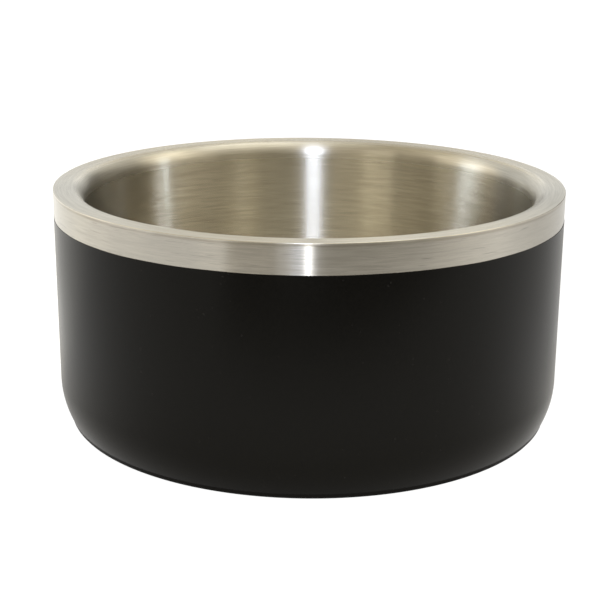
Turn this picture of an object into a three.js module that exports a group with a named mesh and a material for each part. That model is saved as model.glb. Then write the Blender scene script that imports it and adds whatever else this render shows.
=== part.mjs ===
// A double-walled pet bowl, every piece turned about one upright axis. A drawn steel liner hangs by its flat
// lip in a near-cylindrical steel wall, and a pressed pan closes the wall from below, so that a sealed layer
// of air lies between them. Two continuous welds join the steel. A black powder coat covers the wall below a
// bare band at the rim, and a rubber ring bonded into the pan's recess keeps the bowl from sliding.
// Millimetres, +Z up, z = 0 is the floor that the bowl stands on.

import * as THREE from "three";

// Overall size
const HEIGHT = 95.5; // floor to the top of the lip
const RIM_RADIUS = 103; // outer face of the steel wall

// Liner: the inner bowl and its lip
const LINER_SHEET = 0.8;
const LIP_LAND = 6; // flat part of the lip, measured in from the rim's outer edge
const LIP_BEND = 6; // radius of the rounded edge between the land and the liner's wall
const LINER_DRAFT = THREE.MathUtils.degToRad(2); // the liner narrows this much towards its floor
const LINER_CORNER = 24; // inside radius between the liner's wall and floor
const FLOOR_GAP = 7; // air between the liner's floor and the pan's centre

// Outer wall, drawn in by one large curve to a short upright neck that the pan is pressed into
const WALL_SHEET = 0.8;
const TUCK_RADIUS = 36;
const TUCK_ANGLE = THREE.MathUtils.degToRad(26); // how far the curve leans in where the neck starts
const NECK_HEIGHT = 1.3;
const NECK_STEP = 0.3; // the neck is set in this far from the end of the curve

// Ground bead that joins the lip to the wall
const RIM_WELD = 0.6;
const RIM_BEVEL = 0.25;

// Powder coat
const BAND_HEIGHT = 11.3; // bare steel between the top of the lip and the coat
const COAT = 0.12;
const COAT_BOND = 0.02;

// Base pan: a flange that turns down inside the neck, a flat seat and a raised centre
const PAN_SHEET = 0.8;
const PAN_RECESS = 2.2; // from the wall's lower edge up to the seat
const PAN_BEND = 0.8; // radius of the inside corner between flange and seat
const PAN_STEP = 1; // how far the centre is pressed up to stiffen it
const PAN_STEP_RUN = 1.6; // radial run of that step
const PAN_STEP_GAP = 4; // from the foot's inner edge to the step
const PAN_FIT = 0.15; // flange to neck
const BASE_WELD = 0.8; // height of the bead under the flange
const BASE_WELD_FIT = 0.05;

// Rubber foot: a flange under the steel edge and a spigot that seats in the pan's recess
const FOOT_DROP = 0.8; // rubber below the wall's lower edge
const FOOT_INSET = 0.35; // neck's outer face to the rubber's
const FOOT_WIDTH = 16;
const FOOT_FIT = 0.3; // spigot to the pan's flange
const FOOT_SEAT = 0.08; // flange to the coated edge above it
const FOOT_EDGE = 0.2; // bevel along the lower edges
const GROOVE_COUNT = 3;
const GROOVE_WIDTH = 1.6;
const GROOVE_DEPTH = 0.8;
const BOND_LINE = 0.2; // adhesive between the spigot and the seat
const BOND_MARGIN = 0.6; // the adhesive stops this far from the rubber's inner edge

// Vent hole in the middle of the pan, and the push-in plug that closes it
const VENT_RADIUS = 3;
const PLUG_FIT = 0.1;
const PLUG_FLANGE = 2; // head beyond the hole's edge
const PLUG_HEAD = 1;
const PLUG_BARB = 0.9; // barb beyond the hole's edge
const PLUG_TIP_RADIUS = 1.6;
const PLUG_TIP_LENGTH = 2.4;

// Chords round the axis, and half the chords in each arc of a profile
const SEGMENTS = 60;
const PLUG_SEGMENTS = 24;
const ARC_STEPS = 3;
const PAN_ARC_STEPS = 1;

// Levels shared by neighbouring pieces
const lipUnderside = HEIGHT - LINER_SHEET;
const wallEdge = FOOT_DROP;
const neckTop = wallEdge + NECK_HEIGHT;
const neckShoulder = neckTop - NECK_STEP; // the step to the curve rises from here
const tuckLevel = neckTop + TUCK_RADIUS * Math.sin(TUCK_ANGLE);
const panSeat = wallEdge + PAN_RECESS;
const panCentre = panSeat + PAN_STEP;
const flangeEnd = wallEdge + BASE_WELD;
const floorTop = panCentre + PAN_SHEET + FLOOR_GAP + LINER_SHEET;
const coatUnderside = wallEdge - COAT_BOND - COAT;
const footFlangeTop = coatUnderside - FOOT_SEAT;
const spigotTop = panSeat - BOND_LINE;

// The tuck is one arc, offset for the coat and for the sheet's inner face. These give the angle at which the
// offset arc crosses a level, and its radius from the bowl's axis there.
const tuckCentre = RIM_RADIUS - TUCK_RADIUS;
const tuckAngle = (offset, level) => -Math.asin((tuckLevel - level) / (TUCK_RADIUS + offset));
const tuckRadius = (offset, level) => tuckCentre + (TUCK_RADIUS + offset) * Math.cos(tuckAngle(offset, level));

// Radii shared by neighbouring pieces
const lipEdge = RIM_RADIUS - RIM_WELD;
const neckOuter = tuckRadius(0, neckTop) - NECK_STEP;
const neckInner = neckOuter - WALL_SHEET;
const panFlangeOuter = neckInner - PAN_FIT;
const panFlangeInner = panFlangeOuter - PAN_SHEET;
const footOuter = neckOuter - FOOT_INSET;
const footInner = footOuter - FOOT_WIDTH;
const spigotOuter = panFlangeInner - FOOT_FIT;
const plugNeck = VENT_RADIUS - PLUG_FIT;

const QUARTER = Math.PI / 2;

// Each profile below is drawn as radius against height, with the material on the left of the line of travel.

function linerProfile() {
  const lip = new THREE.Vector2(RIM_RADIUS - LIP_LAND, HEIGHT - LIP_BEND);
  const cornerLevel = floorTop + LINER_CORNER;
  // The wall leaves the lip's bend and meets the floor's corner at the same draft angle.
  const reach = (LIP_BEND + LINER_CORNER) / Math.cos(LINER_DRAFT);
  const cornerRadius = lip.x - reach - (lip.y - cornerLevel) * Math.tan(LINER_DRAFT);
  const path = new THREE.Path();
  path.absarc(cornerRadius, cornerLevel, LINER_CORNER + LINER_SHEET, -QUARTER, -LINER_DRAFT, false);
  path.absarc(lip.x, lip.y, LIP_BEND - LINER_SHEET, Math.PI - LINER_DRAFT, QUARTER, true);
  path.lineTo(lipEdge, lipUnderside);
  path.lineTo(lipEdge, HEIGHT);
  path.absarc(lip.x, lip.y, LIP_BEND, QUARTER, Math.PI - LINER_DRAFT, false);
  path.absarc(cornerRadius, cornerLevel, LINER_CORNER, -LINER_DRAFT, -QUARTER, true);
  const underside = new THREE.Vector2(0, floorTop - LINER_SHEET);
  const inside = new THREE.Vector2(0, floorTop);
  return [underside, ...path.getPoints(ARC_STEPS), inside];
}

function wallProfile() {
  const path = new THREE.Path();
  path.moveTo(neckOuter, wallEdge);
  path.lineTo(neckOuter, neckShoulder);
  path.absarc(tuckCentre, tuckLevel, TUCK_RADIUS, tuckAngle(0, neckTop), 0, false);
  path.lineTo(RIM_RADIUS, lipUnderside);
  path.lineTo(RIM_RADIUS - WALL_SHEET, lipUnderside);
  path.absarc(tuckCentre, tuckLevel, TUCK_RADIUS - WALL_SHEET, 0, tuckAngle(-WALL_SHEET, neckTop), true);
  path.lineTo(neckInner, neckShoulder);
  path.lineTo(neckInner, wallEdge);
  path.closePath();
  return path.getPoints(ARC_STEPS);
}

function rimWeldProfile() {
  const path = new THREE.Path();
  path.moveTo(lipEdge, lipUnderside);
  path.lineTo(RIM_RADIUS, lipUnderside);
  path.lineTo(RIM_RADIUS, HEIGHT - RIM_BEVEL);
  path.lineTo(RIM_RADIUS - RIM_BEVEL, HEIGHT);
  path.lineTo(lipEdge, HEIGHT);
  path.closePath();
  return path.getPoints(ARC_STEPS);
}

// The coat follows the wall from the bare band down and wraps under the wall's lower edge.
function coatProfile() {
  const inner = COAT_BOND;
  const outer = COAT_BOND + COAT;
  const coatTop = HEIGHT - BAND_HEIGHT;
  const path = new THREE.Path();
  path.moveTo(neckOuter + outer, coatUnderside);
  path.lineTo(neckOuter + outer, neckShoulder);
  path.absarc(tuckCentre, tuckLevel, TUCK_RADIUS + outer, tuckAngle(outer, neckTop), 0, false);
  path.lineTo(RIM_RADIUS + outer, coatTop);
  path.lineTo(RIM_RADIUS + inner, coatTop);
  path.absarc(tuckCentre, tuckLevel, TUCK_RADIUS + inner, 0, tuckAngle(inner, neckTop), true);
  path.lineTo(neckOuter + inner, neckShoulder);
  path.lineTo(neckOuter + inner, coatUnderside + COAT);
  path.lineTo(neckInner, coatUnderside + COAT);
  path.lineTo(neckInner, coatUnderside);
  path.closePath();
  return path.getPoints(ARC_STEPS);
}

function panProfile() {
  const bend = new THREE.Vector2(panFlangeInner - PAN_BEND, panSeat - PAN_BEND);
  const stepOuter = footInner - PAN_STEP_GAP;
  const stepInner = stepOuter - PAN_STEP_RUN;
  const path = new THREE.Path();
  path.moveTo(VENT_RADIUS, panCentre);
  path.lineTo(stepInner, panCentre);
  path.lineTo(stepOuter, panSeat);
  path.absarc(bend.x, bend.y, PAN_BEND, QUARTER, 0, true);
  path.lineTo(panFlangeInner, flangeEnd);
  path.lineTo(panFlangeOuter, flangeEnd);
  path.absarc(bend.x, bend.y, PAN_BEND + PAN_SHEET, 0, QUARTER, false);
  path.lineTo(stepOuter, panSeat + PAN_SHEET);
  path.lineTo(stepInner, panCentre + PAN_SHEET);
  path.lineTo(VENT_RADIUS, panCentre + PAN_SHEET);
  path.closePath();
  return path.getPoints(PAN_ARC_STEPS);
}

function baseWeldProfile() {
  const outer = neckInner - BASE_WELD_FIT;
  const path = new THREE.Path();
  path.moveTo(panFlangeInner, wallEdge);
  path.lineTo(outer, wallEdge);
  path.lineTo(outer, flangeEnd);
  path.lineTo(panFlangeInner, flangeEnd);
  path.closePath();
  return path.getPoints(ARC_STEPS);
}

function footProfile() {
  const path = new THREE.Path();
  path.moveTo(footInner + FOOT_EDGE, 0);
  for (let i = 1; i <= GROOVE_COUNT; i += 1) {
    const middle = footInner + (FOOT_WIDTH * i) / (GROOVE_COUNT + 1);
    path.lineTo(middle - GROOVE_WIDTH / 2, 0);
    path.lineTo(middle - GROOVE_WIDTH / 2, GROOVE_DEPTH);
    path.lineTo(middle + GROOVE_WIDTH / 2, GROOVE_DEPTH);
    path.lineTo(middle + GROOVE_WIDTH / 2, 0);
  }
  path.lineTo(footOuter - FOOT_EDGE, 0);
  path.lineTo(footOuter, FOOT_EDGE);
  path.lineTo(footOuter, footFlangeTop);
  path.lineTo(spigotOuter, footFlangeTop);
  path.lineTo(spigotOuter, spigotTop - PAN_BEND); // the spigot's top edge clears the pan's bend
  path.lineTo(spigotOuter - PAN_BEND, spigotTop);
  path.lineTo(footInner, spigotTop);
  path.lineTo(footInner, FOOT_EDGE);
  path.closePath();
  return path.getPoints(ARC_STEPS);
}

function adhesiveProfile() {
  const inner = footInner + BOND_MARGIN;
  const outer = spigotOuter - PAN_BEND;
  const path = new THREE.Path();
  path.moveTo(inner, spigotTop);
  path.lineTo(outer, spigotTop);
  path.lineTo(outer, panSeat);
  path.lineTo(inner, panSeat);
  path.closePath();
  return path.getPoints(ARC_STEPS);
}

function plugProfile() {
  const panTop = panCentre + PAN_SHEET;
  const path = new THREE.Path();
  path.moveTo(0, panCentre - PLUG_HEAD);
  path.lineTo(VENT_RADIUS + PLUG_FLANGE, panCentre - PLUG_HEAD);
  path.lineTo(VENT_RADIUS + PLUG_FLANGE, panCentre);
  path.lineTo(plugNeck, panCentre);
  path.lineTo(plugNeck, panTop);
  path.lineTo(VENT_RADIUS + PLUG_BARB, panTop);
  path.lineTo(PLUG_TIP_RADIUS, panTop + PLUG_TIP_LENGTH);
  path.lineTo(0, panTop + PLUG_TIP_LENGTH);
  return path.getPoints(ARC_STEPS);
}

const brushedSteel = new THREE.MeshStandardMaterial({ color: 0xbab6aa, roughness: 0.34, metalness: 1 });
const groundWeld = new THREE.MeshStandardMaterial({ color: 0xd0cdc3, roughness: 0.22, metalness: 1 });
const rawWeld = new THREE.MeshStandardMaterial({ color: 0x8f8a80, roughness: 0.5, metalness: 1 });
const powderBlack = new THREE.MeshStandardMaterial({ color: 0x1b1a19, roughness: 0.48, metalness: 0 });
const footRubber = new THREE.MeshStandardMaterial({ color: 0x151515, roughness: 0.85, metalness: 0 });
const clearBond = new THREE.MeshStandardMaterial({ color: 0xcfc9b8, roughness: 0.6, metalness: 0 });
const plugRubber = new THREE.MeshStandardMaterial({ color: 0x242424, roughness: 0.75, metalness: 0 });

function turned(name, profile, material, segments = SEGMENTS) {
  const mesh = new THREE.Mesh(new THREE.LatheGeometry(profile, segments), material);
  mesh.name = name;
  return mesh;
}

const vessel = new THREE.Group();
vessel.add(turned("inner_bowl", linerProfile(), brushedSteel));
vessel.add(turned("outer_wall", wallProfile(), brushedSteel));
vessel.add(turned("rim_weld", rimWeldProfile(), groundWeld));
vessel.add(turned("powder_coat", coatProfile(), powderBlack));

const base = new THREE.Group();
base.add(turned("base_pan", panProfile(), brushedSteel));
base.add(turned("base_weld", baseWeldProfile(), rawWeld));
base.add(turned("vent_plug", plugProfile(), plugRubber, PLUG_SEGMENTS));
base.add(turned("foot_adhesive", adhesiveProfile(), clearBond));
base.add(turned("foot_ring", footProfile(), footRubber));

// Profiles are turned about Y, and a quarter turn stands the bowl up along Z.
const bowl = new THREE.Group();
bowl.rotation.x = QUARTER;
bowl.add(vessel, base);

export default bowl;
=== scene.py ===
# %% [markdown]
# # A double-walled steel bowl, dressed for its picture
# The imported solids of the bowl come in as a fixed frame: right in size and place, but faceted and plain.
# This lesson turns each visible piece again as a fine smooth surface in the same place, and gives every
# piece the finish that its maker gave it. One could also smooth the imported meshes, but their 60 flats would
# still show in every reflection, and reflections are nearly all that a steel bowl shows.

# %% Load the frame
import bpy
import numpy as np
from mathutils import Matrix, Quaternion, Vector


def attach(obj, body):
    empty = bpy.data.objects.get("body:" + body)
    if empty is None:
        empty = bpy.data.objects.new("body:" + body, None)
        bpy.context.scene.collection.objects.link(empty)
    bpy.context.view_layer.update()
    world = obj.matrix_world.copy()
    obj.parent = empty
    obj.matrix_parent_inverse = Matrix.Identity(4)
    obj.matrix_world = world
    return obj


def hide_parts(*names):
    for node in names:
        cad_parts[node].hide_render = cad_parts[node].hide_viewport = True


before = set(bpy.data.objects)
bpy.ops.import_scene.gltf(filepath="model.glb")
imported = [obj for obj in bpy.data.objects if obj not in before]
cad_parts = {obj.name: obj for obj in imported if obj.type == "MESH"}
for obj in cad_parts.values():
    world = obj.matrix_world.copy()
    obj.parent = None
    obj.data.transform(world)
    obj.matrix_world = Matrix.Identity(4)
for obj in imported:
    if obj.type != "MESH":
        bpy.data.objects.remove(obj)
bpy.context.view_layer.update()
MM = 0.001  # sizes below are in millimetres, as on a drawing, and meshes are in metres
print("nodes in the frame:", sorted(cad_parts))

# %% [markdown]
# ## The camera
# The photograph looks down on the bowl from a little above the rim, with a long lens, so that the rim is a
# flat ellipse and the upright wall hardly narrows. One could turn the camera by eye until it looks right, but
# a fit of the rim's ellipse and the base's curve gives an angle and a distance that can be checked. The small
# roll matches a rim whose right side hangs slightly lower.

# %% Place the camera
PICTURE = 600.0  # pixels along each side
FOCAL = 1352.8  # focal length in pixels
SENSOR = 36.0
PITCH = np.radians(16.67)
ROLL = np.radians(0.35)
AIM = Vector((-3.42, 0.0, 44.8)) * MM
EYE_DISTANCE = 566.5 * MM

camera_data = bpy.data.cameras.new("camera")
camera_data.sensor_width = SENSOR
camera_data.lens = SENSOR * FOCAL / PICTURE
camera_data.clip_start = 10.0 * MM
camera = bpy.data.objects.new("camera", camera_data)
eye = AIM + EYE_DISTANCE * Vector((0.0, -np.cos(PITCH), np.sin(PITCH)))
tilt = Matrix.Rotation(np.pi / 2 - PITCH, 4, "X") @ Matrix.Rotation(ROLL, 4, "Z")
camera.matrix_world = Matrix.Translation(eye) @ tilt
bpy.context.scene.collection.objects.link(camera)
bpy.context.scene.camera = camera
print("camera at", [round(v, 4) for v in eye], "lens", round(camera_data.lens, 2), "mm")

# %% [markdown]
# ## Shader sums written as sums
# A finish is a small calculation that is done again at each point of a surface. Nodes can be wired by hand,
# but a sum is easier to read as a sum, so one class holds a node's output and lets + - * / add the Math nodes.
# Its `node` method adds any other node: settings first, because they can change the sockets, then values.
# The methods after it are the nodes that these finishes use most.

# %% A wire that knows arithmetic
class Wire:
    """One output of a shader node, or a bare node tree to start from."""

    def __init__(self, tree, socket=None):
        self.tree = tree
        self.socket = socket

    def node(self, kind, settings=None, sockets=None):
        """Adds a node of this kind, with its settings, then the values or wires of its sockets."""
        node = self.tree.nodes.new(kind)
        for key, value in (settings or {}).items():
            setattr(node, key, value)
        for key, value in (sockets or {}).items():
            if isinstance(value, Wire):
                self.tree.links.new(value.socket, node.inputs[key])
            else:
                node.inputs[key].default_value = value
        return Wire(self.tree, node.outputs[0] if len(node.outputs) else None)

    def part(self, key):
        """Another output of the node that this wire comes from."""
        return Wire(self.tree, self.socket.node.outputs[key])

    def sum(self, operation, first, second=0.0):
        """A Math node on one or two numbers or wires."""
        return self.node("ShaderNodeMath", {"operation": operation}, {0: first, 1: second})

    def __add__(self, other):
        return self.sum("ADD", self, other)

    def __radd__(self, other):
        return self.sum("ADD", other, self)

    def __sub__(self, other):
        return self.sum("SUBTRACT", self, other)

    def __rsub__(self, other):
        return self.sum("SUBTRACT", other, self)

    def __mul__(self, other):
        return self.sum("MULTIPLY", self, other)

    def __rmul__(self, other):
        return self.sum("MULTIPLY", other, self)

    def __truediv__(self, other):
        return self.sum("DIVIDE", self, other)

    def __rtruediv__(self, other):
        return self.sum("DIVIDE", other, self)

    def __pow__(self, other):
        return self.sum("POWER", self, other)

    def ramp(self, low, high, to_low=0.0, to_high=1.0):
        """Carries low..high smoothly to to_low..to_high."""
        return self.node("ShaderNodeMapRange", {"interpolation_type": "SMOOTHSTEP"},
                         {0: self, 1: low, 2: high, 3: to_low, 4: to_high})

    def blend(self, first, second):
        """A colour that goes from first to second as this wire goes from 0 to 1."""
        first, second = (end if isinstance(end, Wire) else (*end, 1.0) for end in (first, second))
        return self.node("ShaderNodeMix", {"data_type": "RGBA"}, {0: self, 6: first, 7: second}).part(2)

    def place(self):
        """The point of the surface, in the piece's own coordinates."""
        return self.node("ShaderNodeTexCoord").part("Object")

    def split(self):
        """The three numbers of a vector."""
        numbers = self.node("ShaderNodeSeparateXYZ", None, {0: self})
        return [numbers.part(axis) for axis in "XYZ"]

    def noise(self, scale, detail):
        """Noise from 0 to 1 at this point, with `scale` changes per unit of length."""
        return self.node("ShaderNodeTexNoise", None, {"Vector": self, "Scale": scale, "Detail": detail})

    def bump(self, strength, distance):
        """A normal that leans as this wire rises and falls."""
        return self.node("ShaderNodeBump", None, {"Strength": strength, "Distance": distance, "Height": self})


print("shader sums ready")

# %% [markdown]
# ## Where a finish starts and ends
# A new material starts with an empty tree, so that nothing is left in it by default, and ends in one output.
# Most finishes here are one Principled shader, because a single shader covers metal, rubber and paint alike.

# %% Start and end of a finish
def new_finish(name):
    """An empty material: the start wire of its tree, and the material."""
    material = bpy.data.materials.new(name)
    material.use_nodes = True
    material.node_tree.nodes.clear()
    return Wire(material.node_tree), material


def show(start, shader, kind="Material"):
    """Wires a shader to the tree's output."""
    start.node(f"ShaderNodeOutput{kind}", None, {"Surface": shader})


def principled(start, sockets):
    """Ends a finish in a Principled shader with these sockets."""
    show(start, start.node("ShaderNodeBsdfPrincipled", None, sockets))


print("finishes can start")

# %% [markdown]
# ## Rounding a profile
# A profile is the outline of a piece's cut, as radius and height. It is written as its sharp corners with a
# radius for each, as a drawing gives them. A Bevel modifier could round the finished mesh, but one radius would
# then have to serve every corner. Each bend has a narrow flat strip at both ends, which keeps its shading off the
# wide faces.

# %% Round the corners
STRIP_SHARE, STRIP_WIDEST = 0.2, 0.3  # strip beside a bend: share of the bend's radius, and its most
SAME_POINT = 1e-6  # points nearer than this are one point
NO_LENGTH = 1e-9


def rounded(corners, radii, steps, closed=True):
    """A profile with its corners rounded.

    At a corner with half angle h between its edges, a bend of radius r starts r / tan h from the corner and is
    centred r / sin h along the edges' bisector. Its points are the turn from the first spoke to the second.
    """
    corner = np.asarray(corners, float)
    radius = np.asarray(radii, float)[:, None]
    back = np.roll(corner, 1, axis=0) - corner
    ahead = np.roll(corner, -1, axis=0) - corner
    back /= np.linalg.norm(back, axis=1, keepdims=True)
    ahead /= np.linalg.norm(ahead, axis=1, keepdims=True)
    half = np.arccos(np.clip((back * ahead).sum(axis=1, keepdims=True), -1, 1)) / 2
    run = radius / np.tan(half)
    bisector = back + ahead
    bisector /= np.maximum(np.linalg.norm(bisector, axis=1, keepdims=True), NO_LENGTH)
    centre = corner + bisector * radius / np.sin(half)
    first, last = corner + back * run, corner + ahead * run
    sweep = (np.pi - 2 * half)[:, :, None]
    turn = np.linspace(0, 1, steps)[None, :, None]
    spokes = (np.sin((1 - turn) * sweep) * (first - centre)[:, None]
              + np.sin(turn * sweep) * (last - centre)[:, None]) / np.sin(sweep)
    strip = np.minimum(STRIP_SHARE * radius, STRIP_WIDEST)
    before, after = first + back * strip, last + ahead * strip
    points = np.concatenate([before[:, None], centre[:, None] + spokes, after[:, None]], axis=1).reshape(-1, 2)
    keep = np.linalg.norm(points - np.roll(points, 1, axis=0), axis=1) > SAME_POINT
    keep[0] |= not closed
    return points[keep]


sample = rounded([(0, 0), (10, 0), (10, 10), (0, 10)], [2, 2, 2, 0], steps=12)
print("a square with three round corners has", len(sample), "points")

# %% [markdown]
# ## Turning a profile
# Every piece of this bowl is round, as if turned on a lathe: a profile carried once round the axis. The Screw
# modifier or Spin could turn it, but as whole arrays the angle stays at hand, so that a weld can carry a nick at
# one angle.

# %% Turn the profile
AROUND = 256
SHARP = np.radians(40)  # edges that turn by more than this stay sharp


def pole_faces(pole, one, other):
    """A fan of triangles that closes a ring onto its pole."""
    return np.stack([np.full(len(one), pole), one, other], axis=-1).tolist()


def turned(name, profile, closed=True, shape=None, around=AROUND):
    """The surface that a profile sweeps round the axis.

    A point at radius r and height z goes to (r cos a, r sin a, z) for each angle a. An open profile starts and
    ends on the axis, and each end becomes one pole. `shape` may move radius and height as a function of angle.
    """
    angle = np.linspace(0, 2 * np.pi, around, endpoint=False)
    line = profile if closed else profile[1:-1]
    radius, angles = np.meshgrid(line[:, 0], angle)
    height = np.broadcast_to(line[:, 1], radius.shape).copy()
    if shape:
        radius, height = shape(angles, radius, height)
    points = np.stack([radius * np.cos(angles), radius * np.sin(angles), height], axis=-1).reshape(-1, 3)
    count = len(line)
    i, j = np.meshgrid(np.arange(count if closed else count - 1), np.arange(around))
    next_i, next_j = (i + 1) % count, (j + 1) % around
    quads = np.stack([j * count + i, next_j * count + i, next_j * count + next_i, j * count + next_i], axis=-1)
    faces = quads.reshape(-1, 4).tolist()
    if not closed:
        points = np.vstack([points, [0, 0, profile[0, 1]], [0, 0, profile[-1, 1]]])
        ring = np.arange(around) * count
        after = np.roll(ring, -1)
        faces += pole_faces(len(points) - 2, after, ring)
        faces += pole_faces(len(points) - 1, ring + count - 1, after + count - 1)
    mesh = bpy.data.meshes.new(name)
    mesh.from_pydata((points * MM).tolist(), [], faces)
    mesh.shade_smooth()
    mesh.set_sharp_from_angle(angle=SHARP)
    piece = bpy.data.objects.new(name, mesh)
    bpy.context.scene.collection.objects.link(piece)
    return piece


def fit(piece, node, finish):
    """Puts a turned piece in its CAD node's place, on the bowl's one body, with its finish."""
    piece.data.materials.append(finish)
    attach(piece, "root")
    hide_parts(node)
    print(piece.name, "stands for", node, "with", len(piece.data.polygons), "faces")


print("the lathe turns in", AROUND, "steps, or more where a piece asks for it")

# %% [markdown]
# ## Sizes shared by the pieces
# These repeat the drawing of the part, because this script reads no other file. The wall is upright and ends
# below in one large curve, the tuck, and a short upright neck set in a little from it. The coat outside and the
# sheet's inner face follow the same line, moved out or in. Each could have a drawing of its own, but with one
# function that gives the line for any offset they can't drift apart.

# %% Shared sizes
HEIGHT, RIM_RADIUS = 95.5, 103.0
SHEET = 0.8
WALL_EDGE = 0.8
TUCK_RADIUS, TUCK_ANGLE = 36.0, np.radians(26.0)
TUCK_SHARE = 0.94  # of the curve's radius, so that its end keeps a short straight run to the neck
NECK_STEP, NECK_BEND = 0.3, 0.3
NECK_TOP = WALL_EDGE + 1.3
TUCK_LEVEL = NECK_TOP + TUCK_RADIUS * np.sin(TUCK_ANGLE)
TUCK_CENTRE = RIM_RADIUS - TUCK_RADIUS
NECK = TUCK_CENTRE + TUCK_RADIUS * np.cos(TUCK_ANGLE) - NECK_STEP
NECK_INNER = NECK - SHEET
LIP_UNDERSIDE = HEIGHT - SHEET
RIM_WELD = 0.6
LIP_EDGE = RIM_RADIUS - RIM_WELD
PAN_SEAT, PAN_CENTRE = WALL_EDGE + 2.2, WALL_EDGE + 3.2


def wall_line(offset, foot):
    """The wall's line moved out by an offset, from its foot up to the tuck: corners and their radii.

    The curve is centred at TUCK_CENTRE, TUCK_LEVEL. Rounding the corner between the upright and the curve's
    tangent at the neck gives the curve back.
    """
    radius = TUCK_RADIUS + offset
    lean = np.arcsin((TUCK_LEVEL - NECK_TOP) / radius)
    shoulder = (TUCK_CENTRE + radius * np.cos(lean), NECK_TOP)
    corner = (RIM_RADIUS + offset, TUCK_LEVEL - radius * np.tan(lean / 2))
    corners = [(NECK + offset, foot), (NECK + offset, NECK_TOP - NECK_STEP), shoulder, corner]
    return corners, [0, NECK_BEND, NECK_BEND, radius * TUCK_SHARE]


print("neck from radius", round(NECK_INNER, 2), "to", round(NECK, 2))

# %% [markdown]
# ## A noise that runs round the bowl
# The belt that brushed the steel left marks that run round the axis. A stretched noise on x, y and z would run
# straight through the bowl instead, and one on the angle would have a seam. This one changes slowly with the
# direction from the axis and fast with radius plus height, so it runs round and has no seam.

# %% Noise round the axis
SCRATCH_ROUND = 7.0  # changes of the pattern per radian round the bowl
ON_AXIS = 1e-8  # keeps the radius off zero


def turned_noise(start, along, slow=SCRATCH_ROUND):
    """Noise drawn out round the axis, from 0 to 1, with `along` changes per metre of profile."""
    x, y, z = start.place().split()
    radius = (x * x + y * y + ON_AXIS) ** 0.5
    pattern = start.node("ShaderNodeCombineXYZ", None,
                         {0: x / radius * slow, 1: y / radius * slow, 2: (radius + z) * along})
    return pattern.noise(1.0, detail=3.0)


print("brush marks change", SCRATCH_ROUND, "times per radian")

# %% [markdown]
# ## Brushed steel
# The liner and the band were spun against an abrasive belt, which leaves fine scratches round the bowl.
# Scratches spread a reflection across themselves and hardly along themselves, so a lamp becomes an upright
# streak on the wall. A bump with every scratch could give that spread, but they are finer than a pixel, so the
# shader's anisotropy stands for them. Scratches too wide to blend in come from the noise and shift roughness and
# colour. Next to the ground rim a narrow brownish line of painted shade darkens the wall just below the corner.

# %% Steel finish
SCRATCH_FINE, SCRATCH_COARSE = 2300.0, 950.0  # scratches per metre of profile
COARSE_ROUND, PATCH_ROUND = 0.6 * SCRATCH_ROUND, 0.5 * SCRATCH_ROUND  # wide marks are longer than fine ones
FINE_SHARE = 0.65
NOISE_SPAN = (0.3, 0.7)  # noise seldom leaves these heights
DEEP_SCRATCH = (0.62, 0.72)  # heights of the fine noise that count as a deep scratch
SCRATCH_GREY = (0.20, 0.19, 0.17)  # a deep scratch holds some polishing dirt
RIM_SHADE_FADE = (0.0937, 0.0948)  # levels in metres between which a painted shade starts to darken the wall below the rim
RIM_SHADE_TOP = (0.0950, 0.0953)  # and between which that painted shade fades out under the rim's rounded corner
RIM_SHADE_PATCH, PATCHES = (0.35, 0.6), 40.0  # heights of a noise where the painted shade is strong, and its changes per metre
RIM_SHADE_THIN = 0.3  # share of the painted shade between the patches
# brownish colour of the painted shade in a narrow line below the rim's corner
RIM_SHADE_BROWN = (0.26, 0.22, 0.16)
BEND_LOW, BEND_HIGH = (0.0865, 0.0915), (0.0940, 0.0953)  # levels in metres where the lip's bend starts and ends
ROUND_THE_AXIS = 0.25  # of a turn, from the shader's own direction to that of the scratches


def brushed_steel(name, dark, pale, roughness, anisotropy=1.0, uneven=0.012, deep=0.1, bend=0.0, seam=0.0):
    """Steel brushed round the axis: colour between dark and pale, and roughness up to `uneven` about its value.

    A share `deep` of the dirt shows in deep scratches. The lip's `bend`, which the belt only grazes, is rougher
    by that much, and `seam` is the share of a brownish painted shade, a narrow dark line below the ground corner.
    """
    start, finish = new_finish(name)
    fine = turned_noise(start, SCRATCH_FINE)
    coarse = turned_noise(start, SCRATCH_COARSE, slow=COARSE_ROUND)
    patches = turned_noise(start, PATCHES, slow=PATCH_ROUND)
    grain = (fine * FINE_SHARE + coarse * (1 - FINE_SHARE)).ramp(*NOISE_SPAN)
    level = start.place().split()[2]
    brushed = (fine.ramp(*DEEP_SCRATCH) * deep).blend(grain.blend(dark, pale), SCRATCH_GREY)
    # painted shade: a narrow brownish line darkened into the colour just below the rim's corner, stronger in patches
    painted_tone = level.ramp(*RIM_SHADE_FADE) * level.ramp(*RIM_SHADE_TOP, 1.0, 0.0) * patches.ramp(*RIM_SHADE_PATCH, RIM_SHADE_THIN, 1.0)
    grazed = level.ramp(*BEND_LOW) * level.ramp(*BEND_HIGH, 1.0, 0.0) * bend
    principled(start, {
        "Base Color": (painted_tone * seam).blend(brushed, RIM_SHADE_BROWN),
        "Metallic": 1.0,
        "Roughness": roughness + (grain - 0.5) * (2 * uneven) + grazed,
        "Anisotropic": anisotropy,
        "Anisotropic Rotation": ROUND_THE_AXIS,
    })
    return finish


liner_finish = brushed_steel("brushed_liner", (0.565, 0.54, 0.477), (0.70, 0.676, 0.606), 0.25,
                             uneven=0.004, deep=0.0, bend=0.09)
# the band carries a painted shade in a narrow brownish line just below the rim's corner
wall_finish = brushed_steel("brushed_band", (0.452, 0.429, 0.379), (0.538, 0.513, 0.455), 0.22,
                            uneven=0.025, deep=0.6, seam=0.5)
print("finishes:", liner_finish.name, wall_finish.name)

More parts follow.
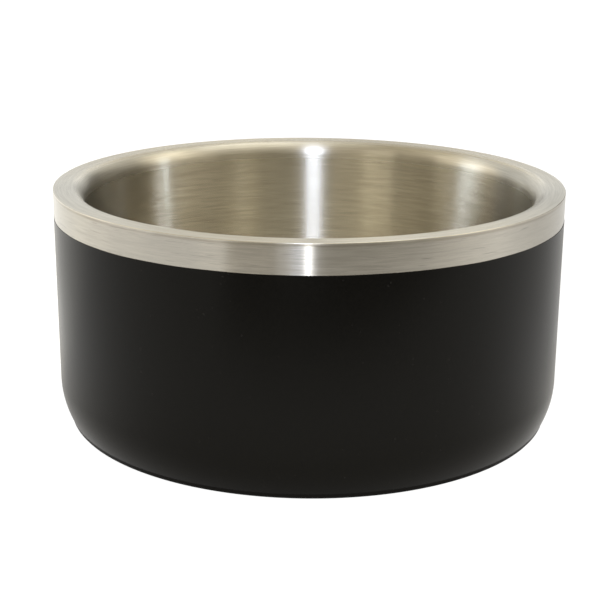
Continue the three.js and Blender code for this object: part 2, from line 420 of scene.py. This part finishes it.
# %% [markdown]
# ## The inner bowl
# The liner is drawn from one disc of sheet: a flat floor, a large corner, a wall that leans out by two degrees,
# a small bend and the flat lip that carries it. Its profile runs along the underside from the axis to the lip
# and back along the inside. A Solidify modifier on one line would do too, but the lip's edge would then need
# trimming to meet the weld.

# %% Inner bowl
LIP_LAND, LIP_BEND = 6.0, 6.0
LINER_DRAFT = np.radians(2)
LINER_CORNER = 24.0
AIR_GAP = 7.0
FLOOR_TOP = PAN_CENTRE + SHEET + AIR_GAP + SHEET


def liner_wall(level, bend):
    """Radius of the leaning wall's line at a level; `bend` is its distance from the lip bend's centre."""
    lift = level - (HEIGHT - LIP_BEND)
    return RIM_RADIUS - LIP_LAND + (lift * np.sin(LINER_DRAFT) - bend) / np.cos(LINER_DRAFT)


def liner_profile():
    """Out along the underside, up the back of the wall, round the lip and down the inside to the axis."""
    under, inner_bend = FLOOR_TOP - SHEET, LIP_BEND - SHEET
    corners = [(0, under), (liner_wall(under, inner_bend), under),
               (liner_wall(LIP_UNDERSIDE, inner_bend), LIP_UNDERSIDE), (LIP_EDGE, LIP_UNDERSIDE),
               (LIP_EDGE, HEIGHT), (liner_wall(HEIGHT, LIP_BEND), HEIGHT),
               (liner_wall(FLOOR_TOP, LIP_BEND), FLOOR_TOP), (0, FLOOR_TOP)]
    radii = [0, LINER_CORNER + SHEET, inner_bend, 0, 0, LIP_BEND, LINER_CORNER, 0]
    return rounded(corners, radii, steps=28, closed=False)


inner_bowl = turned("inner_bowl_brushed", liner_profile(), closed=False, around=400)
fit(inner_bowl, "inner_bowl", liner_finish)

# %% [markdown]
# ## The outer wall
# A tube of the same sheet, upright down to the tuck, which draws it in to the base. Only a band at the top stays
# bare: the rest is under the coat. It could be one skin with two finishes, but the real wall is one piece of steel
# with a layer on it, and made that way the coat's edge gets its true step.

# %% Outer wall
def wall_profile():
    """Up the outside of the sheet, across its upper edge and down the inside."""
    outside, bends = wall_line(0, WALL_EDGE)
    inside, inner_bends = wall_line(-SHEET, WALL_EDGE)
    corners = [*outside, (RIM_RADIUS, LIP_UNDERSIDE), (RIM_RADIUS - SHEET, LIP_UNDERSIDE), *inside[::-1]]
    return rounded(corners, [*bends, 0, 0, *inner_bends[::-1]], steps=16)


outer_wall = turned("outer_wall_brushed", wall_profile())
fit(outer_wall, "outer_wall", wall_finish)

# %% [markdown]
# ## The rim weld
# Lip and wall meet in a bead that is ground flush with both. Grinding leaves it brighter and smoother than the
# brushed faces, and its corner takes the first knocks: a few small nicks and a slightly uneven bevel. A bump
# could draw the nicks, but at the outline a bump shows nothing. So the bevel is a rounded corner, and the nicks
# are narrow dips in radius and height at chosen angles.

# %% Rim weld
NICKS = np.radians([-148.0, -22.5, -19.0, -3.5, 41.0, 97.0, 171.0])  # angles round the rim
NICK_DEPTH = np.array([0.10, 0.08, 0.06, 0.09, 0.07, 0.06, 0.08])
NICK_WIDTH = np.radians(0.9)
BEVEL, BEVEL_WAVE = 0.22, 0.004


def worn_edge(angle, radius, height):
    """Dips the bead's outer top corner: a sum of narrow bells at the nicks' angles, and a slow waviness."""
    away = np.angle(np.exp(1j * (angle[..., None] - NICKS)))
    dip = (NICK_DEPTH * np.exp(-((away / NICK_WIDTH) ** 2))).sum(axis=-1)
    wave = BEVEL_WAVE * (np.sin(17 * angle + 0.6) + np.sin(29 * angle + 2.1))
    corner = np.clip((radius - LIP_EDGE) / RIM_WELD, 0, 1) * np.clip((height - LIP_UNDERSIDE) / SHEET, 0, 1)
    drop = corner * (dip + np.maximum(wave, 0))
    return radius - drop, height - drop


def weld_profile():
    """The small square between lip and wall, with its outer top corner rounded."""
    corners = [(LIP_EDGE, LIP_UNDERSIDE), (RIM_RADIUS, LIP_UNDERSIDE), (RIM_RADIUS, HEIGHT), (LIP_EDGE, HEIGHT)]
    return rounded(corners, [0, 0, BEVEL, 0], steps=8)


# the weld's face carries the same painted shade below its rounded corner
weld_finish = brushed_steel("ground_weld", (0.60, 0.575, 0.51), (0.72, 0.69, 0.61), 0.25, anisotropy=0.8, seam=0.55)
rim_weld = turned("rim_weld_ground", weld_profile(), shape=worn_edge, around=720)
fit(rim_weld, "rim_weld", weld_finish)

# %% [markdown]
# ## The powder coat's skin
# Black powder is sprayed on and baked. It flows into a satin skin with a faint orange peel, a little glossier in
# patches where hands have rubbed it, with a few specks of dust. The peel is under a hundredth of a millimetre
# high, so it is a fine bump in the material: as geometry it would need millions of faces and look the same.

# %% Coat finish
PEEL, RUBBED, SPECKS = 1400.0, 26.0, 1000.0  # changes per metre
PEEL_SPAN = (0.35, 0.7)
PEEL_HEIGHT = 0.00003
DUST = (0.83, 0.88)  # heights of a noise that count as a speck of dust
COAT_DARK, COAT_PALE = (0.0011, 0.0010, 0.0009), (0.0024, 0.0022, 0.0019)
DUST_GREY = (0.013, 0.0125, 0.012)
COAT_DULL, COAT_RUBBED, COAT_UNEVEN = 0.26, 0.22, 0.05  # roughness as baked and as rubbed, and the peel's part in it


def powder_black(name):
    """Black that is a little paler on the peel's tops and at the dust, and smoother where it is rubbed."""
    start, finish = new_finish(name)
    place = start.place()
    peel, rubbed = place.noise(PEEL, detail=2.0), place.noise(RUBBED, detail=4.0)
    skin = peel.ramp(*PEEL_SPAN).blend(COAT_DARK, COAT_PALE)
    principled(start, {
        "Base Color": place.noise(SPECKS, detail=0.0).ramp(*DUST).blend(skin, DUST_GREY),
        "Roughness": rubbed.ramp(*NOISE_SPAN, COAT_DULL, COAT_RUBBED) + (peel - 0.5) * COAT_UNEVEN,
        "Normal": peel.bump(0.25, PEEL_HEIGHT),
        "Specular IOR Level": 0.14,
        "Specular Tint": (1.0, 0.97, 0.88, 1.0),
    })
    return finish


coat_finish = powder_black("black_powder_coat")
print("finish:", coat_finish.name)

# %% [markdown]
# ## The powder coat's shape
# The coat starts at an edge that masking cut clean and wraps under the wall's lower edge. It could be only a
# colour on the wall, but then the edge would have no thickness to catch the light. So it is a thin shell that
# follows the wall's own line.

# %% Powder coat
COAT_BOND, COAT = 0.02, 0.12
COAT_TOP = HEIGHT - 11.3
COAT_UNDERSIDE = WALL_EDGE - COAT_BOND - COAT
COAT_FOOT_BEND, COAT_EDGE_BEND = 0.1, 0.06
MASK_REACH = 1.0  # the mask's waver fades out this far below the edge


def coat_profile():
    """From the neck's inside out along the underside, up the outside, over the edge and back along the wall."""
    outer, inner = COAT_BOND + COAT, COAT_BOND
    outside, bends = wall_line(outer, COAT_UNDERSIDE)
    inside, inner_bends = wall_line(inner, COAT_UNDERSIDE + COAT)
    bends[0] = COAT_FOOT_BEND
    corners = [(NECK_INNER, COAT_UNDERSIDE), *outside, (RIM_RADIUS + outer, COAT_TOP),
               (RIM_RADIUS + inner, COAT_TOP), *inside[::-1], (NECK_INNER, COAT_UNDERSIDE + COAT)]
    return rounded(corners, [0, *bends, COAT_EDGE_BEND, 0, *inner_bends[::-1], 0], steps=16)


def mask_edge(angle, radius, height):
    """Lets the coat's upper edge waver by a few hundredths, as a masked edge does: a sum of two slow waves."""
    wave = 0.04 * np.sin(9 * angle) + 0.03 * np.sin(23 * angle + 1.3)
    near_top = np.clip((height - COAT_TOP + MASK_REACH) / MASK_REACH, 0, 1)
    return radius, height + near_top * wave


powder_coat = turned("powder_coat_black", coat_profile(), shape=mask_edge, around=360)
fit(powder_coat, "powder_coat", coat_finish)

# %% [markdown]
# ## The base pan
# A pressed disc closes the wall from below. Its flange turns down inside the wall, where the base weld holds it,
# its flat seat takes the rubber foot, and its centre is pressed up to stiffen it. The press leaves a soft
# satin face, so the steel is rougher and hardly drawn out. A plain disc would close the wall too, but it would
# give the foot no recess and the weld no flange.

# %% Base pan
PAN_FLANGE = NECK_INNER - 0.15
FLANGE_END = WALL_EDGE + 0.8
FOOT_WIDTH = 16.0
FOOT_OUTER = NECK - 0.35
FOOT_INNER = FOOT_OUTER - FOOT_WIDTH
STEP_OUTER = FOOT_INNER - 4.0
STEP_INNER = STEP_OUTER - 1.6
VENT_RADIUS = 3.0


def pan_profile():
    """Out along the underside from the vent, over the step to the seat, down the flange and back along the top."""
    corners = [(VENT_RADIUS, PAN_CENTRE), (STEP_INNER, PAN_CENTRE), (STEP_OUTER, PAN_SEAT),
               (PAN_FLANGE - SHEET, PAN_SEAT), (PAN_FLANGE - SHEET, FLANGE_END), (PAN_FLANGE, FLANGE_END),
               (PAN_FLANGE, PAN_SEAT + SHEET), (STEP_OUTER, PAN_SEAT + SHEET), (STEP_INNER, PAN_CENTRE + SHEET),
               (VENT_RADIUS, PAN_CENTRE + SHEET)]
    radii = [0.1, 1.2, 1.2, 0.8, 0, 0, 1.6, 1.2, 1.2, 0.1]
    return rounded(corners, radii, steps=8)


pan_finish = brushed_steel("pressed_pan", (0.50, 0.485, 0.45), (0.62, 0.605, 0.565), 0.42, anisotropy=0.3)
base_pan = turned("base_pan_pressed", pan_profile())
fit(base_pan, "base_pan", pan_finish)

# %% [markdown]
# ## Moulded rubber
# Foot and plug come out of a mould with a dull, slightly mottled skin that gathers dust. A plain dark grey would
# pass at a distance, but close up rubber is known by its fine grain. So a fine noise makes the grain and a bump,
# and a coarse one the dust.

# %% Rubber finish
DUST_TO_GRAIN = 24.0  # patches of dust are this much wider than the grain
MOTTLE_SPAN = (0.35, 0.65)
GRAIN_HEIGHT = 0.00005


def moulded_rubber(name, dark, pale, grain):
    """Rubber between a dark and a pale grey, with `grain` changes of its skin per metre."""
    start, finish = new_finish(name)
    place = start.place()
    skin, dust = place.noise(grain, detail=3.0), place.noise(grain / DUST_TO_GRAIN, detail=4.0)
    principled(start, {
        "Base Color": (skin * 0.5 + dust * 0.5).ramp(*MOTTLE_SPAN).blend(dark, pale),
        "Roughness": dust.ramp(*NOISE_SPAN, 0.78, 0.90),
        "Normal": skin.bump(0.4, GRAIN_HEIGHT),
        "Specular IOR Level": 0.35,
    })
    return finish


rubber_finish = moulded_rubber("moulded_foot", (0.009, 0.009, 0.0088), (0.016, 0.016, 0.0155), 1800.0)
plug_finish = moulded_rubber("moulded_plug", (0.017, 0.017, 0.0165), (0.027, 0.027, 0.026), 2200.0)
print("finishes:", rubber_finish.name, plug_finish.name)

# %% [markdown]
# ## The rubber foot
# A moulded ring seats in the pan's recess and shows only as a thin dark strip under the steel. Its underside has
# three grip grooves. They could be cut with a Boolean, but as corners of the profile they come out clean, each
# with the small radius that a mould needs.

# %% Foot ring
GROOVES, GROOVE_WIDTH, GROOVE_DEPTH = 3, 1.6, 0.8
GROOVE_BEND = 0.2
FOOT_TOP = COAT_UNDERSIDE - 0.08
SPIGOT_TOP = PAN_SEAT - 0.2
SPIGOT_OUTER = PAN_FLANGE - SHEET - 0.3


def foot_profile():
    """Out along the underside through the grooves, up the rim, in to the spigot, up it and back to the inside."""
    middles = FOOT_INNER + FOOT_WIDTH * np.arange(1, GROOVES + 1) / (GROOVES + 1)
    across = middles[:, None] + np.array([-0.5, -0.5, 0.5, 0.5]) * GROOVE_WIDTH
    depth = np.tile([0, GROOVE_DEPTH, GROOVE_DEPTH, 0], (GROOVES, 1))
    grooves = np.stack([across, depth], axis=-1).reshape(-1, 2).tolist()
    corners = [(FOOT_INNER, 0), *grooves, (FOOT_OUTER, 0), (FOOT_OUTER, FOOT_TOP),
               (SPIGOT_OUTER, FOOT_TOP), (SPIGOT_OUTER, SPIGOT_TOP), (FOOT_INNER, SPIGOT_TOP)]
    radii = [0.25, *[GROOVE_BEND] * len(grooves), 0.2, 0.1, 0.1, 0.8, 0.4]
    return rounded(corners, radii, steps=5)


foot_ring = turned("foot_ring_rubber", foot_profile())
fit(foot_ring, "foot_ring", rubber_finish)

# %% [markdown]
# ## The vent plug
# Welding and baking need a way out for the hot air, so the pan has a hole in its middle, closed at the end by a
# push-in rubber plug: a low domed head outside, a neck in the hole and a barb inside. Only the head can be seen,
# and a flat disc would fake it, but a whole plug is what holds in the hole.

# %% Vent plug
HEAD_RADIUS, HEAD_DEPTH = VENT_RADIUS + 2.0, 1.0
PLUG_NECK = 2.9
BARB_RADIUS, BARB_TIP, BARB_LENGTH = VENT_RADIUS + 0.9, 1.6, 2.4


def plug_profile():
    """From the axis out under the head, in to the neck, up through the hole, out to the barb and in to its tip."""
    under, top = PAN_CENTRE - HEAD_DEPTH, PAN_CENTRE + SHEET
    corners = [(0, under), (HEAD_RADIUS, under), (HEAD_RADIUS, PAN_CENTRE), (PLUG_NECK, PAN_CENTRE),
               (PLUG_NECK, top), (BARB_RADIUS, top), (BARB_TIP, top + BARB_LENGTH), (0, top + BARB_LENGTH)]
    return rounded(corners, [0, 0.7, 0.1, 0.05, 0.05, 0.2, 0.5, 0], steps=6, closed=False)


vent_plug = turned("vent_plug_rubber", plug_profile(), closed=False, around=96)
fit(vent_plug, "vent_plug", plug_finish)

# %% [markdown]
# ## The hidden seams
# The base weld lies between flange and wall, and the adhesive lies on the pan's seat. Neither shows once the
# bowl is together. They could be turned again like the rest, but nobody would see it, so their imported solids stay
# as they are, with finishes of their own: a weld left as it cooled, dull with a rippled bead, and a clear
# yellowish bond with fine bubbles.

# %% Seam finishes
RIPPLES, HEAT = (300.0, 160.0), (900.0, 12.0)  # changes per metre of profile, and per radian round the bowl
RIPPLE_HEIGHT = 0.0001
HEAT_SPAN, BUBBLE_SPAN = (0.35, 0.65), (0.1, 0.5)
BUBBLES = 900.0  # per metre


def raw_weld(name):
    """Steel between two greys by how hot it was, with ripples that follow each other closely round the seam."""
    start, finish = new_finish(name)
    bead, heat = turned_noise(start, *RIPPLES), turned_noise(start, *HEAT)
    principled(start, {
        "Base Color": heat.ramp(*HEAT_SPAN).blend((0.30, 0.28, 0.25), (0.50, 0.47, 0.42)),
        "Metallic": 1.0,
        "Roughness": heat.ramp(*NOISE_SPAN, 0.42, 0.60),
        "Normal": bead.bump(0.6, RIPPLE_HEIGHT),
    })
    return finish


def clear_bond(name):
    """A bond that is darker and smoother at the middle of each bubble."""
    start, finish = new_finish(name)
    bubbles = start.node("ShaderNodeTexVoronoi", None, {"Vector": start.place(), "Scale": BUBBLES})
    principled(start, {
        "Base Color": bubbles.ramp(*BUBBLE_SPAN).blend((0.52, 0.47, 0.36), (0.64, 0.60, 0.50)),
        "Roughness": bubbles.ramp(*BUBBLE_SPAN, 0.35, 0.55),
    })
    return finish


for node, finish in (("base_weld", raw_weld("seam_weld")), ("foot_adhesive", clear_bond("bond_line"))):
    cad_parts[node].data.materials.clear()
    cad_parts[node].data.materials.append(finish)
    print(node, "keeps its solid, finished as", finish.name)

# %% [markdown]
# ## The floor
# A plain pale floor. The photograph's ground is white. More lamps could make it white, but they would wash out
# the bowl, so camera and mirror rays see mostly the floor's own white, and the rest is a matt surface that takes
# the light and the bowl's soft shadow. In the metal the white sheet ends towards the camera, where a dim room
# starts.

# %% Floor finish
DEGREES = 180 / np.pi
WHITE = (1.0, 1.0, 1.0)
SHEET_BRIGHTER, ROOM_FLOOR = (1.18, 1.17, 1.13), (0.09, 0.08, 0.06)
FLOOR_MATT, FLOOR_GLOW = (0.9, 0.9, 0.89, 1.0), 1.14
GROUND_WHITE, GROUND_MIRRORED = 0.86, 0.80  # share of plain white that the camera and the metal see
GROUND_CONTACT = 0.4  # share that the metal sees close to the bowl
SHEET_END = (-0.38, -0.18)  # metres in y between which the white ground ends, in what the metal mirrors
SHEET_SIDE, SIDE_SHARE = (-32.5, -30.5), 0.85  # bearings between which it runs on to the front left, dimmed
SHEET_SHADE, SHADE_SHARE = (76.0, 112.0), 0.28  # bearings between which it falls off to the right, by this share
SHEET_BRIGHT = (-108.0, -96.0)  # bearings between which it rises to the left
BEHIND = (140.0, 178.0)  # bearings, either way, between which both go back to plain white behind the bowl
STRAY_LEFT, STRAY_RIGHT = (-13.5, -12.0), (-7.0, -5.0)  # bearings of the ends of a faint patch on the dim front
STRAY_START, STRAY_SHARE = (-0.47, -0.43), 0.8  # metres in y where that patch starts, and its share of white
CONTACT = (0.10, 0.20)  # distances from the axis between which the metal mirrors less and less of the matt floor


def bearing_of(across, towards):
    """Degrees to the right of straight ahead: the angle whose tangent is across over towards."""
    return across.sum("ARCTAN2", across, towards) * DEGREES


def white_sheet(start, aside, ahead):
    """How much of the white sheet the metal mirrors at a point of the floor, and how far it is risen there."""
    bearing = bearing_of(aside, 0.0 - ahead)
    near = start.sum("MAXIMUM", ahead.ramp(*SHEET_END), bearing.ramp(*SHEET_SIDE, SIDE_SHARE, 0.0))
    stray = (bearing.ramp(*STRAY_LEFT) * bearing.ramp(*STRAY_RIGHT, 1.0, 0.0)
             * ahead.ramp(*STRAY_START, STRAY_SHARE, 0.0))
    behind = start.sum("ABSOLUTE", bearing).ramp(*BEHIND, 1.0, 0.0)
    lit = start.sum("MAXIMUM", near, stray) * (1.0 - bearing.ramp(*SHEET_SHADE) * behind * SHADE_SHARE)
    return lit, bearing.ramp(*SHEET_BRIGHT, 1.0, 0.0) * behind


def pale_ground(name):
    """Matt white, mixed with a white of its own by the kind of ray that looks at it."""
    start, finish = new_finish(name)
    rays = start.node("ShaderNodeLightPath")
    camera_ray = rays.part("Is Camera Ray")
    mirrored = start.sum("MAXIMUM", rays.part("Is Glossy Ray"), rays.part("Is Transmission Ray"))
    aside, ahead, _ = start.place().split()
    away = (aside * aside + ahead * ahead) ** 0.5
    lit, risen = white_sheet(start, aside, ahead)
    painted_tone = start.sum("MAXIMUM", camera_ray, lit).blend(ROOM_FLOOR, risen.blend(WHITE, SHEET_BRIGHTER))
    in_metal = mirrored * away.ramp(*CONTACT, GROUND_CONTACT, GROUND_MIRRORED)
    seen = start.sum("MAXIMUM", camera_ray * GROUND_WHITE, in_metal)
    matt = start.node("ShaderNodeBsdfDiffuse", None, {"Color": FLOOR_MATT})
    white = start.node("ShaderNodeEmission", None, {"Color": painted_tone, "Strength": FLOOR_GLOW})
    show(start, start.node("ShaderNodeMixShader", None, {0: seen, 1: matt, 2: white}))
    return finish


floor_finish = pale_ground("pale_floor")
print("finish:", floor_finish.name)

# %% [markdown]
# ## The floor's sheet
# One large square, level with the foot's underside. A curved backdrop would hide the far edge, but behind it the
# world is the same white to the camera, so the edge doesn't show.

# %% Floor
FLOOR_REACH = 6.0

mesh = bpy.data.meshes.new("floor")
square = np.array([(-1, -1, 0), (1, -1, 0), (1, 1, 0), (-1, 1, 0)]) * FLOOR_REACH
mesh.from_pydata(square.tolist(), [], [(0, 1, 2, 3)])
mesh.materials.append(floor_finish)
floor = bpy.data.objects.new("floor", mesh)
bpy.context.scene.collection.objects.link(floor)
print("floor", 2 * FLOOR_REACH, "m across")

# %% [markdown]
# ## The tent
# A bowl in a pale tent: lighter and darker cloth on the sides, behind and above, with the tent open towards the
# camera, where the metal shows a dim warm room. Real panels round the bowl could do this, but then other views
# would look at their backs. So the world's colour depends on the direction, and camera rays see plain white.

# %% Panels of the tent
# Each panel: bearings from and to in degrees (0 towards the camera, + to the right), heights of the direction
# from and to (0 level, 1 overhead), softness of its upright and level edges, and its colour.
PANELS = [
    (-200.0, 200.0, 0.38, 2.0, 1.0, 0.18, (0.58, 0.48, 0.30)),
    (10.0, 170.0, 0.66, 0.90, 8.0, 0.04, (0.70, 0.65, 0.53)),
    (-90.0, -18.0, 0.60, 2.0, 8.0, 0.05, (0.50, 0.45, 0.35)),
    (-110.0, -60.0, 0.50, 0.85, 8.0, 0.06, (0.90, 0.81, 0.63)),
    (10.0, 180.0, 0.895, 2.0, 8.0, 0.02, (1.35, 1.25, 0.98)),
    (-200.0, 200.0, 0.962, 2.0, 1.0, 0.012, (1.35, 1.24, 0.98)),
    (83.0, 122.0, 0.51, 0.82, 7.0, 0.05, (2.60, 2.41, 1.95)),
    (-155.0, -115.0, 0.45, 0.72, 8.0, 0.06, (1.10, 1.03, 0.85)),
    (-125.0, -84.0, 0.43, 0.72, 6.0, 0.05, (1.60, 1.48, 1.24)),
    (-200.0, -33.0, -2.0, 0.40, 1.5, 0.12, (0.24, 0.23, 0.20)),
    (-200.0, -100.0, -2.0, 0.40, 6.0, 0.12, (1.02, 1.00, 0.93)),
    (-122.0, -94.0, 0.02, 0.44, 6.0, 0.06, (2.00, 1.80, 1.46)),
    (65.0, 200.0, -2.0, 0.40, 3.0, 0.12, (0.18, 0.17, 0.15)),
    (65.0, 92.0, -2.0, 0.40, 4.0, 0.12, (0.42, 0.40, 0.36)),
    (-200.0, -122.0, 0.08, 0.75, 12.0, 0.05, (0.76, 0.76, 0.74)),
    (160.0, 200.0, 0.08, 0.75, 5.0, 0.05, (0.73, 0.73, 0.71)),
    (155.0, 200.0, 0.45, 1.2, 8.0, 0.12, (0.85, 0.82, 0.75)),
    (165.0, 200.0, 0.23, 0.55, 6.0, 0.02, (1.15, 1.13, 1.07)),
    (-200.0, -165.0, 0.23, 0.55, 6.0, 0.02, (1.08, 1.06, 1.00)),
    (-200.0, -155.0, 0.45, 1.2, 8.0, 0.12, (0.80, 0.77, 0.69)),
    (118.0, 160.0, 0.36, 0.72, 6.0, 0.06, (0.80, 0.76, 0.66)),
    (112.0, 160.0, -2.00, 0.33, 6.0, 0.06, (0.10, 0.09, 0.08)),
]

# Strips stand upright in the bowl's walls. Their bearings are those of the wall that mirrors them to the camera.
STRIPS = [
    (-48.0, -37.0, 0.12, 0.55, 3.0, 0.06, (1.30, 1.15, 0.86)),
    (-37.0, -26.0, 0.12, 0.55, 2.0, 0.06, (0.46, 0.39, 0.28)),
    (-24.2, -15.2, 0.12, 0.55, 1.0, 0.06, (1.35, 1.20, 0.91)),
    (-15.2, -7.2, 0.12, 0.55, 1.0, 0.06, (0.70, 0.60, 0.43)),
    (-17.5, -7.2, -0.20, 0.08, 0.5, 0.03, (1.20, 1.12, 0.98)),
    (4.0, 15.0, 0.10, 0.55, 1.5, 0.06, (0.14, 0.115, 0.07)),
    (18.5, 27.0, 0.20, 0.55, 2.0, 0.10, (0.40, 0.35, 0.26)),
    (27.0, 49.0, 0.12, 0.55, 3.0, 0.06, (1.05, 0.93, 0.72)),
]
print(len(PANELS), "panels and", len(STRIPS), "strips")

# %% [markdown]
# ## The world
# Each panel is laid over what is there already, by its share at a direction. The share is four soft steps
# multiplied: from the left, from the right, from below and from above. A picture of a studio would be the usual
# way, but a list of panels can be read and changed.

# %% World
ROOM_DIM = (0.20, 0.175, 0.13)


def between(value, low, high, soft):
    """A share that rises about low and falls about high, each over twice `soft`."""
    return value.ramp(low - soft, low + soft) * value.ramp(high - soft, high + soft, 1.0, 0.0)


def studio_world():
    """The dim room with all panels laid over it, and plain white for the camera.

    The bearing of the wall that mirrors a direction lies half way between that direction and the camera's, so it
    is the bearing of their sum.
    """
    world = bpy.data.worlds.new("tent")
    world.use_nodes = True
    world.node_tree.nodes.clear()
    bpy.context.scene.world = world
    start = Wire(world.node_tree)
    x, y, z = start.node("ShaderNodeTexCoord").part("Generated").split()
    compass, mirroring = bearing_of(x, 0.0 - y), bearing_of(x, np.cos(PITCH) - y)
    light = ROOM_DIM
    for bearing, panels in ((compass, PANELS), (mirroring, STRIPS)):
        for left, right, low, high, side_soft, level_soft, colour in panels:
            share = between(bearing, left, right, side_soft) * between(z, low, high, level_soft)
            light = share.blend(light, colour)
    light = start.node("ShaderNodeLightPath").part("Is Camera Ray").blend(light, WHITE)
    show(start, start.node("ShaderNodeBackground", None, {"Color": light, "Strength": 1.0}), "World")
    return world


print("world:", studio_world().name)

# %% [markdown]
# ## The lamps
# On brushed steel a lamp becomes an upright streak. A low narrow lamp in front draws the band's streak, a wide
# cool one above it the streak inside, and two weak ones close to the sides the two side streaks, each leaned so
# that its streak leans. The top lamp gives the soft shadow. Bright panels in the world could draw the streaks
# too, but a lamp stands at a distance, so its streak narrows and bends as a real one does.

# %% Lamps
# Each lamp: name, place, point that it faces, width and height, power in watts, colour, lean and beam in degrees.
COOL, OPEN_BEAM, NARROW_BEAM = (0.76, 0.88, 1.0), 180.0, 26.0
LAMPS = [
    ("streak_lamp", (-0.009, -1.5, 0.085), (0, 0, 0.07), (0.048, 0.14), 1.3, (0.90, 0.93, 1.0), 0.0, OPEN_BEAM),
    ("high_lamp", (-0.080, -1.45, 0.77), (0, 0, 0.07), (0.215, 0.70), 7.5, (0.72, 0.80, 1.0), 2.0, OPEN_BEAM),
    ("left_lamp", (-0.312, 0.123, 0.143), (0.0722, 0.0600, 0.04), (0.14, 0.10), 0.0062, COOL, 17.0, NARROW_BEAM),
    ("right_lamp", (0.316, 0.029, 0.143), (-0.0694, 0.0625, 0.04), (0.012, 0.10), 0.0014, COOL, -17.0, NARROW_BEAM),
    ("top_lamp", (0.35, 0.2, 1.6), (0, 0, 0.05), (0.8, 0.8), 2.4, (1.0, 0.98, 0.94), 0.0, OPEN_BEAM),
]


def lamp(name, place, aim, size, power, colour, lean, beam):
    """A rectangular lamp at a place, turned to face a point, leaned in its own plane, unseen by the camera."""
    data = bpy.data.lights.new(name, "AREA")
    data.shape = "RECTANGLE"
    data.size, data.size_y = size
    data.energy = power
    data.color = colour
    data.spread = np.radians(beam)
    lamp_object = bpy.data.objects.new(name, data)
    lamp_object.location = place
    facing = (Vector(aim) - Vector(place)).to_track_quat("-Z", "Y")
    lamp_object.rotation_euler = (facing @ Quaternion((0.0, 0.0, 1.0), np.radians(lean))).to_euler()
    lamp_object.visible_camera = False
    bpy.context.scene.collection.objects.link(lamp_object)


for row in LAMPS:
    lamp(*row)
bpy.context.scene.view_settings.view_transform = "Standard"
print("lamps:", [row[0] for row in LAMPS])
